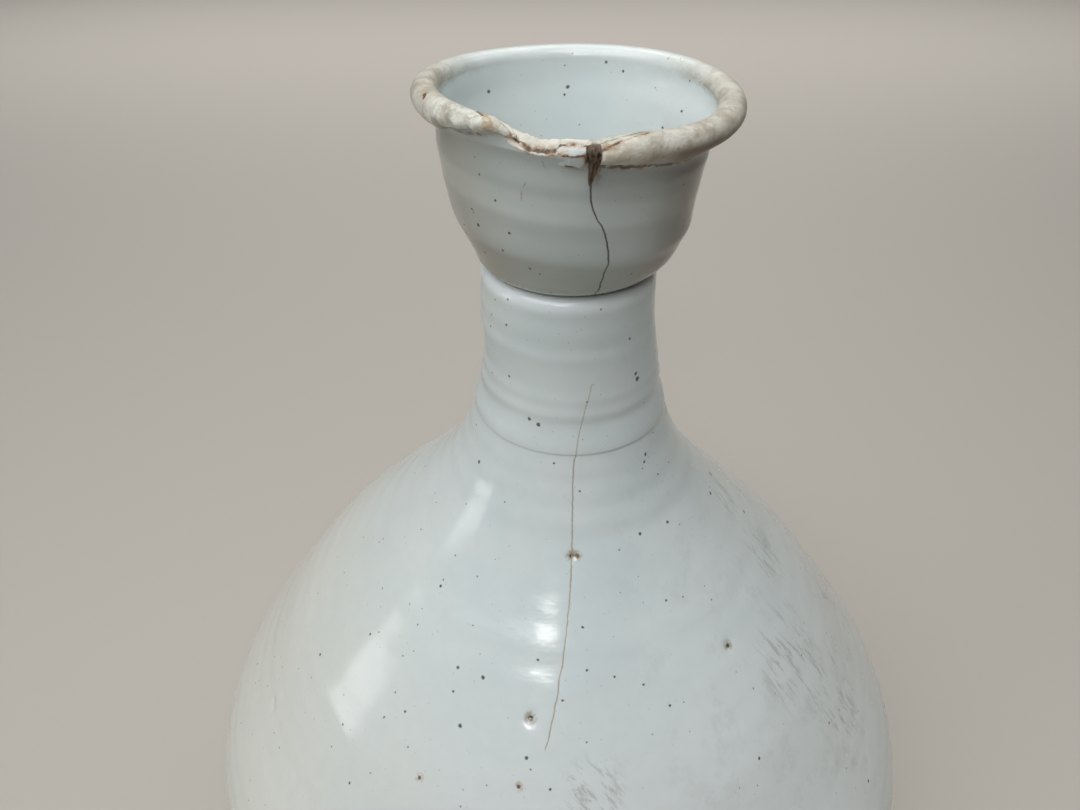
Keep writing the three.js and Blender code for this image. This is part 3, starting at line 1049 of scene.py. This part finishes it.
def bead(start, end, step):
    """A length of the folded bead, broken off the wall on its inner side; its angles are in degrees."""
    return turned(
        spaced(lip_arc(-split_angle, split_angle), 0.42),
        spaced([(LIP_SPLIT, split_top), (LIP_SPLIT, split_low)], 0.5),
        start=start,
        end=end,
        steps=round((end - start) / step),
    )


folded_rim = finished(
    "folded_rim",
    bead(BROKEN_TO, 360 + BROKEN_FROM, 0.75),
    worn_glaze("worn_glaze_rim", 0.25),
    cracks=LIP_CRACKS,
)
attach(folded_rim, "root")
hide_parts("rim_roll")

# -------------------------------------------------------------------------------------------------
# Left sherd: the length of the bead glued back at the front left. The outside of it has flaked away,
# more and more towards the gap, so that it is low, thin and ragged.

PUTTY_FROM = -35  # the angles where the left lip's pieces meet
PUTTY_TO = -29
TIP_END = -24
LEFT_AT_GAP = 2.0  # height of what is left of the bead there
RIGHT_BEAD = 7  # height of the right lip, which is a little more at 33 degrees


def bead_height(degrees):
    """The bead's height along the mended front, as a share of the whole bead's."""
    if degrees < 0:
        return (LEFT_AT_GAP + 0.115 * max(TIP_END - degrees, 0)) / (2 * LIP_TUBE)
    swollen = math.exp(-(((degrees - 33) / 10) ** 2))
    return (RIGHT_BEAD + swollen) / (2 * LIP_TUBE)


def mended_bead(radius, angle, height):
    """The bead as it is now: flaked low on the left, whole and a little deep on the right."""
    degrees = math.degrees(angle)
    share = bead_height(degrees)
    ragged = 1 + 0.16 * noise.noise(Vector((degrees / 2.6, height / 4, 9.0)))
    if share < 0.95:
        radius = LIP_SPLIT + (radius - LIP_SPLIT) * (0.55 + 0.45 * share) * ragged
        share *= ragged
    if height < split_top:
        height = split_top - (split_top - height) * share
    return radius, angle, height


sherd_glaze = worn_glaze("worn_glaze_sherds", 0.55)
left_bead = bead(BROKEN_FROM, PUTTY_FROM, 0.5)
left_sherd = finished("left_sherd", left_bead, sherd_glaze, mended_bead, cracks=LIP_CRACKS)
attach(left_sherd, "root")
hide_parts("rim_sherd_left")

# -------------------------------------------------------------------------------------------------
# Putty: a dry tan filler pressed into the left break by hand, where a short length of the bead is
# lost between the sherd and the tip.

STUMP = 2.4  # height of the stump of the bead where it begins to slope down


def pointed_tip(radius, angle, height):
    """The last of the left lip: it slopes down and thins out to nothing at the gap."""
    radius, angle, height = mended_bead(radius, angle, height)
    degrees = math.degrees(angle)
    fall = ease(degrees, -33.5, -23.5)
    low = split_top - STUMP - 1.6 * fall
    top = split_top - 3.2 * fall
    share = (split_top - height) / STUMP
    radius = LIP_SPLIT + (radius - LIP_SPLIT) * (1 - 0.75 * fall) - 0.7 * fall
    return radius, angle, top + (low - top) * min(max(share, -0.4), 1)


def filler(name, dark, light, size, roughness):
    """A hand-pressed filler, patchy between two tones."""
    material, shader, surface, place = new_material(name)
    patchy = fade(shader, cloud(shader, place, size, 5.0, 0.7), 0.38, 0.62)
    shader.links.new(tint(shader, patchy, dark, light), surface.inputs["Base Color"])
    surface.inputs["Roughness"].default_value = roughness
    relief(shader, surface, times(shader, cloud(shader, place, 1.2, 4.0, 0.6), 0.3))
    return material


putty = filler("tan_putty", rgb(0.40, 0.30, 0.19), rgb(0.64, 0.60, 0.50), 3.0, 0.8)
left_putty = finished("left_putty", bead(PUTTY_FROM, PUTTY_TO, 0.5), putty, pointed_tip)
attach(left_putty, "root")
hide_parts("putty_fill")

# -------------------------------------------------------------------------------------------------
# Left tip: the short end of the lip next to the missing length, glued back past the putty. It thins
# out to nothing at the gap.

tip_bead = bead(PUTTY_TO, TIP_END, 0.25)
left_tip = finished("left_tip", tip_bead, sherd_glaze, pointed_tip, cracks=LIP_CRACKS)
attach(left_tip, "root")
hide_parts("rim_tip_left")

# -------------------------------------------------------------------------------------------------
# Right sherd: the length of the bead glued back at the front right, whole but for its top, which is
# chipped away towards the gap. A dark glue line runs under it.


def worn_down_bead(radius, angle, height):
    """The bead with its top chipped away as far as the wall beside it has gone."""
    left = 1 - missing(math.degrees(angle)) / (split_top - split_low)
    chips = 0.25 * noise.noise(Vector((math.degrees(angle) / 1.5, radius, 4.0))) * (1 - left)
    radius, angle, height = mended_bead(radius, angle, height)
    return radius, angle, split_low + (height - split_low) * (left + chips)


right_bead = bead(5.5, BROKEN_TO, 0.5)
right_sherd = finished("right_sherd", right_bead, sherd_glaze, worn_down_bead, cracks=LIP_CRACKS)
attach(right_sherd, "root")
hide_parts("rim_sherd_right")

# -------------------------------------------------------------------------------------------------
# Lacquer: the brown glue that holds the right sherd, squeezed out at its end in a small lump. It
# has run a little way down the outside of the cup.


def smooth_lump(radius, angle, height):
    """The lacquer's lump: sunk a little in the joint, with a thin run down the wall."""
    degrees = math.degrees(angle)
    run = max(1 - ((degrees - 4) / 1.5) ** 2, 0)
    drip = run * 5.5 * ease(height, 397.5, 395.5)
    swell = 0.7 * noise.noise(Vector((degrees / 0.9, height / 1.3, 1.0)))
    outer = ease(radius, LIP_SPLIT, LIP_SPLIT + 1)
    _, _, height = worn_down_bead(radius, angle, height)
    radius = LIP_SPLIT + (radius - LIP_SPLIT) * (0.86 - 0.3 * ease(height, 398, 394))
    return radius + outer * (swell - 0.5), angle, height - 0.2 - drip + 0.3 * swell * outer


lacquer = filler("brown_lacquer", rgb(0.028, 0.014, 0.007), rgb(0.13, 0.08, 0.042), 1.8, 0.55)
right_lacquer = finished("right_lacquer", bead(0.8, 6, 0.4), lacquer, smooth_lump)
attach(right_lacquer, "root")
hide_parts("lacquer_fill")

# -------------------------------------------------------------------------------------------------
# Lip flake: a small plate of the cup's wall that came away under the missing lip and was glued back.
# It is glazed porcelain like the wall, thick at the right and feathered out at the left.

FLAKE_BACK = 36
FLAKE_FROM = -8
FLAKE_TO = 1
flake_low = LIP_TOP - 8.9
flake_top = LIP_TOP - 4.6
flake_foot = (36.6, flake_low + 0.15)
flake_brow = (37.25, flake_top - 1.3)
flake_crest = (36.5, flake_top)
flake_mesh = turned(
    spaced([(FLAKE_BACK, flake_low), flake_foot], 0.3),
    spaced([flake_foot, flake_brow], 0.4),
    spaced([flake_brow, flake_crest], 0.3),
    spaced([flake_crest, (FLAKE_BACK, flake_low)], 0.6),
    start=FLAKE_FROM,
    end=FLAKE_TO,
    steps=24,
)


def chipped_plate(radius, angle, height):
    """The flake's outline: thick at the right, feathered out and ragged at the left."""
    degrees = math.degrees(angle)
    thin = 0.25 + 0.75 * ease(degrees, FLAKE_FROM, -4)
    back = FLAKE_BACK + (height - flake_low) * 0.125
    top = flake_top - 0.8 * ease(-degrees, 4, 8) + 0.3 * noise.noise(Vector((degrees / 1.3, radius, 5.0)))
    return back + (radius - back) * thin, angle, min(height, top)


# The flake gets the cup's painted shade and light as well as the worn lip.
flake_glaze = glaze("glaze_flake", wear_and_shade=lip_wear_and_cup_shade)
wall_flake = finished("wall_flake", flake_mesh, flake_glaze, chipped_plate, cracks=LIP_CRACKS)
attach(wall_flake, "root")
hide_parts("lip_flake")

# -------------------------------------------------------------------------------------------------
# Setting: a plain pale floor under soft studio light from above, with a small bright lamp behind the
# camera and a window on the left. The camera is close in front of the mouth and a little above it,
# and looks down.

CAMERA_DIP = 36.82  # degrees below level

floor_mesh = bmesh.new()
bmesh.ops.create_grid(floor_mesh, x_segments=1, y_segments=1, size=12)
floor_data = bpy.data.meshes.new("floor")
floor_mesh.to_mesh(floor_data)
floor_mesh.free()
floor_material, _, floor_surface, _ = new_material("pale_floor")
floor_surface.inputs["Base Color"].default_value = rgb(0.52, 0.48, 0.43)
floor_surface.inputs["Roughness"].default_value = 0.7
floor_data.materials.append(floor_material)
floor = bpy.data.objects.new("floor", floor_data)
bpy.context.scene.collection.objects.link(floor)

world = bpy.data.worlds.new("room")
world.use_nodes = True
world.node_tree.nodes["Background"].inputs["Color"].default_value = rgb(0.95, 0.97, 1.0)
world.node_tree.nodes["Background"].inputs["Strength"].default_value = 0.03
bpy.context.scene.world = world


def soft_lamp(name, place, aim, width, height, watts, colour, spread=180):
    """A rectangular soft light at a place in metres, turned towards its aim; its spread is in degrees."""
    data = bpy.data.lights.new(name, "AREA")
    data.shape = "RECTANGLE"
    data.size = width
    data.size_y = height
    data.energy = watts
    data.spread = math.radians(spread)
    data.color = colour
    lamp = bpy.data.objects.new(name, data)
    lamp.location = place
    lamp.rotation_euler = (Vector(aim) - Vector(place)).to_track_quat("-Z", "Y").to_euler()
    bpy.context.scene.collection.objects.link(lamp)


soft_lamp("key", (-0.49, -0.70, 1.77), (0, 0, 0.3), 1.6, 1.6, 26, (0.955, 1.0, 1.02))
soft_lamp("overhead", (0, -0.4, 1.85), (0, 0, 0.3), 1.5, 1.5, 3, (1.0, 1.0, 1.0))
soft_lamp("back", (0, 0.75, 1.6), (0, 0, 0.3), 0.9, 0.9, 6.5, (1.0, 0.96, 0.92))
soft_lamp("right", (0.8, 0.2, 1.6), (0, 0, 0.3), 1.0, 1.0, 4, (0.95, 1.0, 1.0))
soft_lamp("lamp", (-0.38, -2.1, 1.9), (0, 0, 0.28), 0.45, 0.2, 4.5, (1.0, 0.99, 0.97))
soft_lamp("window", (-2.3, -0.35, 0.55), (0, 0, 0.28), 0.65, 0.65, 4, (0.97, 0.99, 1.0))
soft_lamp("far_floor", (0, 2.0, 1.4), (0, 2.001, 0), 4.0, 1.4, 17, (1.0, 1.0, 1.0), 100)

camera_data = bpy.data.cameras.new("camera")
camera_data.lens = 27.03
camera_data.sensor_width = 36
camera_data.clip_start = 0.01
camera = bpy.data.objects.new("camera", camera_data)
camera.location = (-0.0076, -0.2093, 0.4564)
camera.rotation_euler = (math.radians(90 - CAMERA_DIP), 0, 0)
bpy.context.scene.collection.objects.link(camera)
bpy.context.scene.camera = camera
bpy.context.scene.view_settings.view_transform = "Standard"
